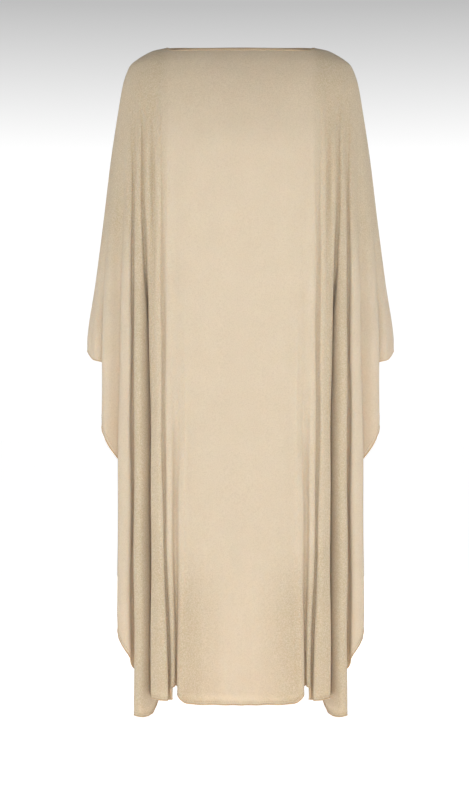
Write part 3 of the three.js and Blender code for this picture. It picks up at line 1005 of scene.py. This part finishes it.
def jersey(name, tone=(1, 1, 1), panel=False):
    """The cloth's finish. A tone multiplies its red, green and blue."""
    finish = Finish(bpy.data.materials.new(name))
    place = finish.node("ShaderNodeTexCoord", {}, {}, output=3)
    fibre = finish.noise(place, FIBRE, 3)
    speckle = finish.noise(place, SPECKLE, 2)
    cloud = finish.noise(place, CLOUD, 3)
    knit = knit_height(finish)
    warm, cool_and_shade_colour, dark, light = ((*np.multiply(colour[:3], tone), 1) for colour in
                               (JERSEY_WARM, JERSEY_COOL_AND_SHADE, JERSEY_DARK, JERSEY_LIGHT))

    grain_and_shade = grain_and_shade_share(finish) if panel else 0
    # Painted shade: the gathers, the arms, the low corners and the top get the darker, cooler
    # ground.
    cool_and_shade_share = (cloud - MIDDLE_GREY) * CLOUD_COOL + COOL + grain_and_shade * PAINTED_SHADE_COOL
    ground = finish.blend(cool_and_shade_share.limited(), warm, cool_and_shade_colour)
    below = (DARK_MIDDLE - speckle) * DARK_CONTRAST + (MIDDLE_GREY - fibre) * FIBRE_CONTRAST
    above = (speckle - MIDDLE_GREY) * LIGHT_CONTRAST + (fibre - MIDDLE_GREY) * FIBRE_CONTRAST
    grain = grain_and_shade * GRAINY_GRAIN + GRAIN
    mottled = finish.blend(below.limited() * grain, ground, dark)
    mottled = finish.blend(above.limited() * grain, mottled, light)
    colour = finish.blend((1 - knit) * BETWEEN_YARNS, mottled, dark)

    height = knit * KNIT_RELIEF + fibre * FIBRE_RELIEF + speckle * FIBRE_RELIEF
    bump = finish.node("ShaderNodeBump", {}, {**RELIEF, "Height": height})
    rough = ROUGH + fibre * ROUGH_CHANGE
    return finish.finish_with(CLOTH_SURFACE, Base_Color=colour, Roughness=rough, Normal=bump)


# %% [markdown]
# The thread is spun tighter than the yarn, so it is a little smoother and deeper in colour.
# Its twist is a fine slanted wave across the stitch, and the dye is a little uneven.

# %% Thread
THREAD_DEEP = 0.72
TWIST, UNEVEN = 900.0, 60
TWIST_SHADE = 0.4
UNEVEN_CONTRAST, UNEVEN_FROM = 1.4, 0.2
THREAD_ROUGH, THREAD_ROUGH_CHANGE = 0.6, 0.15
THREAD_RELIEF = {"Strength": 0.4, "Distance": 0.0002}
THREAD_SURFACE = {"Sheen Weight": 0.15, "IOR": 1.45, "Specular IOR Level": 0.3}


def thread(name, colour):
    """The finish of a sewing thread."""
    finish = Finish(bpy.data.materials.new(name))
    place = finish.node("ShaderNodeTexCoord", {}, {}, output=3)
    twist = finish.node("ShaderNodeTexWave", {"wave_type": "BANDS", "bands_direction": "DIAGONAL"},
                        {"Vector": place, "Scale": TWIST, "Distortion": 1.0})
    uneven = finish.noise(place, UNEVEN)
    deep = (*(value * THREAD_DEEP for value in colour[:3]), 1)
    dyed = (uneven * UNEVEN_CONTRAST - UNEVEN_FROM).limited()
    share = dyed * (1 - twist * TWIST_SHADE)
    tint = finish.blend(share, deep, colour)
    bump = finish.node("ShaderNodeBump", {}, {**THREAD_RELIEF, "Height": twist})
    rough = THREAD_ROUGH + uneven * THREAD_ROUGH_CHANGE
    return finish.finish_with(THREAD_SURFACE, Base_Color=tint, Roughness=rough, Normal=bump)


# %% [markdown]
# ## Which piece wears what
#
# The rolled hem and the neck binding are the same jersey, but folded double and pulled
# tight by their seams. They let less light through, so their colour is painted deeper and
# warmer, as painted shade. The last word of a piece's name says which finish it wears.

# %% Finishes and bodies
finishes = {
    "cloth": jersey("jersey", panel=True),
    # The rolled hem's and the binding's tones darken the jersey as painted shade.
    "hem": jersey("jersey_rolled", tone=(0.90, 0.80, 0.68)),
    "seam": jersey("jersey_oversewn", tone=(0.90, 0.84, 0.76)),
    "band": jersey("jersey_binding", tone=(0.98, 0.90, 0.80)),
    "stitches": thread("thread", linear(188, 158, 122)),
}
for name, thing in PIECES.items():
    thing.data.materials.append(finishes[name.split("_")[-1]])
    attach(thing, "root")

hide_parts("front_panel")
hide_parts("back_panel")
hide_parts("neck_binding")
print(len(PIECES), "pieces in", len(finishes), "finishes")

# %% [markdown]
# Both panels are cut alike: 1.58 m wide along the neck and arms, and at most 1.31 m long.
# Below the wrists they narrow to about 1.25 m in front and 1.18 m behind, and the corners of
# the lower edge are cut off in a long slope. The shoulders that the cloth is draped over
# aren't there, so it rests on nothing that is named.

# %% Pieces that go with each panel
for side in SIDES:
    going = [PIECES[f"{side}_{part}"] for part in ("hem", "hem_stitches", "seam_stitches")]
    if side == "front":
        going += [PIECES["neck_band"], PIECES["neck_stitches"]]
        going += [PIECES[name] for name in PIECES if name.endswith("_seam")]

# %% [markdown]
# ## The floor
#
# The kaftan hangs where a standing wearer's shoulders would hold it, clear of a pale paper
# floor. The paper glows a little, so it stays white under the soft light and no horizon shows.

# %% Floor
FLOOR_HEIGHT = -1.48
FLOOR_SIZE = 60
PAPER_GLOW = 0.85
PAPER_GRAIN, PAPER_GRAIN_SHARE = 8, 0.3
PAPER_PALE, PAPER_DULL = (0.92, 0.92, 0.92, 1), (0.88, 0.88, 0.88, 1)
WHITE = (1, 1, 1, 1)

floor_mesh = bpy.data.meshes.new("floor")
half = FLOOR_SIZE / 2
floor_mesh.from_pydata([(x, y, FLOOR_HEIGHT) for x, y in
                        ((-half, -half), (half, -half), (half, half), (-half, half))],
                       [], [(0, 1, 2, 3)])
floor = bpy.data.objects.new("floor", floor_mesh)
bpy.context.scene.collection.objects.link(floor)
paper = Finish(bpy.data.materials.new("white_paper"))
paper_grain = paper.noise(paper.node("ShaderNodeTexCoord", {}, {}, output=3), PAPER_GRAIN)
paper_colour = paper.blend(paper_grain * PAPER_GRAIN_SHARE, PAPER_PALE, PAPER_DULL)
floor_mesh.materials.append(paper.finish_with(
    {"Roughness": 0.9, "Specular IOR Level": 0.1, "Emission Strength": PAPER_GLOW,
     "Emission Color": WHITE}, Base_Color=paper_colour))
print(f"the floor is {-FLOOR_HEIGHT:.2f} m below the neck")

# %% [markdown]
# ## The lights
#
# Four area lights are large, so all shadows are soft. The strongest stands in front, a little
# low. It fills the folds and leaves the top of the shoulders a shade darker. One on each side
# picks out the edges of the folds, and one behind keeps the back from going flat.

# %% Lights
LIGHT_TARGET = (0, 0, -0.75)
LIGHTS = {
    "left_light": {"place": (-3.6, -1.8, -1.35), "size": (1.4, 1.6), "watts": 44},
    "right_light": {"place": (3.6, -1.8, -1.35), "size": (1.4, 1.6), "watts": 44},
    "front_light": {"place": (0, -4.6, -0.95), "size": (1.8, 1.4), "watts": 106},
    "back_light": {"place": (0, 4.4, -0.4), "size": (3.0, 2.2), "watts": 60},
}


def softbox(name, place, size, watts):
    """A rectangular light that faces the kaftan and isn't seen itself."""
    light = bpy.data.lights.new(name, "AREA")
    light.shape = "RECTANGLE"
    light.size, light.size_y = size
    light.energy = watts
    lamp = bpy.data.objects.new(name, light)
    bpy.context.scene.collection.objects.link(lamp)
    lamp.location = place
    direction = np.array(LIGHT_TARGET) - np.array(place)
    yaw = math.atan2(direction[1], direction[0]) - math.pi / 2
    pitch = math.atan2(direction[2], math.hypot(*direction[:2])) + math.pi / 2
    lamp.rotation_euler = (pitch, 0, yaw)
    lamp.visible_camera = False


for name, setting in LIGHTS.items():
    softbox(name, **setting)
print("watts in all:", sum(setting["watts"] for setting in LIGHTS.values()))

# %% [markdown]
# The sky is seen as white low down and greyer overhead, like a studio's back wall. The light
# that it gives is much dimmer and a little warm, as from a room with pale walls, so that the
# depths of the folds turn brown rather than blue.

# %% Sky
GREY_FROM, GREY_TO, SKY_GREY = 0.125, 0.202, 0.51
SKY_SEEN, SKY_LIGHT = 1.03, 0.32
SKY_WARM = (1, 0.95, 0.84, 1)

world = bpy.data.worlds.new("studio")
bpy.context.scene.world = world
sky = Finish(world)
rise = sky.node("ShaderNodeTexCoord", {}, {}, output=0).part(2)
overhead = past(rise, GREY_FROM, GREY_TO - GREY_FROM)
seen = sky.node("ShaderNodeLightPath", {}, {}, output=0)
strength = seen * SKY_SEEN + (1 - seen) * SKY_LIGHT
tone = sky.blend(overhead, sky.blend(seen, SKY_WARM, WHITE),
                 (SKY_GREY, SKY_GREY, SKY_GREY, 1))
background = sky.node("ShaderNodeBackground", {}, {"Color": tone, "Strength": strength})
sky.node("ShaderNodeOutputWorld", {}, {"Surface": background}, output=None)
bpy.context.scene.view_settings.view_transform = "Standard"
print("the sky has", len(sky.tree.nodes), "nodes")
